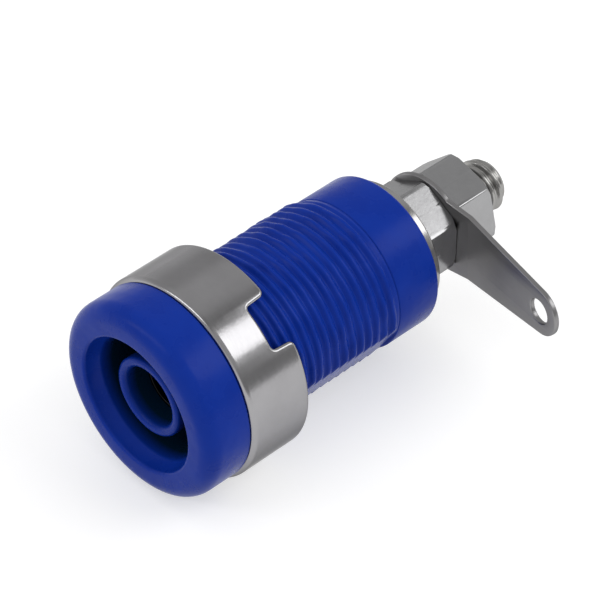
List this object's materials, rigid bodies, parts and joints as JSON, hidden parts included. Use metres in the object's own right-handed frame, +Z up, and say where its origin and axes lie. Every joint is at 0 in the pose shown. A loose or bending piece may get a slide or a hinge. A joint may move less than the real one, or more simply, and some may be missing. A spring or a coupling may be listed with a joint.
{
  "type": "binding post",
  "caption": "Insulated panel socket for a shrouded 4 mm plug, with a slotted ring nut, a solder lug and a threaded terminal stud with hex nuts.",
  "frame": {"origin": "centre of the panel seat, on the back of the head, where the front of the panel lies", "axes": "+Y along the post's axis from the head to the stud, so a plug goes in along +Y; +Z up; the solder lug points almost along +X"},
  "size_m": [0.0215, 0.0332, 0.015],
  "materials": {
    "blue_moulding": "satin moulded polyamide",
    "contact_nickel": "nickel plated",
    "ring_nut_nickel": "matte nickel plated",
    "washer_nickel": "nickel plated",
    "hex_nut_nickel": "satin nickel plated",
    "lug_tin": "tin plated sheet"
  },
  "bodies": {
    "post": {"body": "blue_moulding", "contact": "contact_nickel", "rear_washer": "washer_nickel", "clamp_nut": "hex_nut_nickel"},
    "ring": {"ring_nut": "ring_nut_nickel"},
    "lug": {"solder_lug": "lug_tin"},
    "terminal": {"terminal_nut": "hex_nut_nickel"}
  },
  "joints": [
    {"name": "ring_nut_travel", "type": "slide", "parent": "post", "child": "ring", "axis": [0, 1, 0], "range_m": [0, 0.01]},
    {"name": "lug_swivel", "type": "hinge", "parent": "post", "child": "lug", "pos_m": [0, 0.0233, 0], "axis": [0, 1, 0], "continuous": true},
    {"name": "terminal_nut_travel", "type": "slide", "parent": "post", "child": "terminal", "axis": [0, 1, 0], "range_m": [0, 0.0025]}
  ]
}
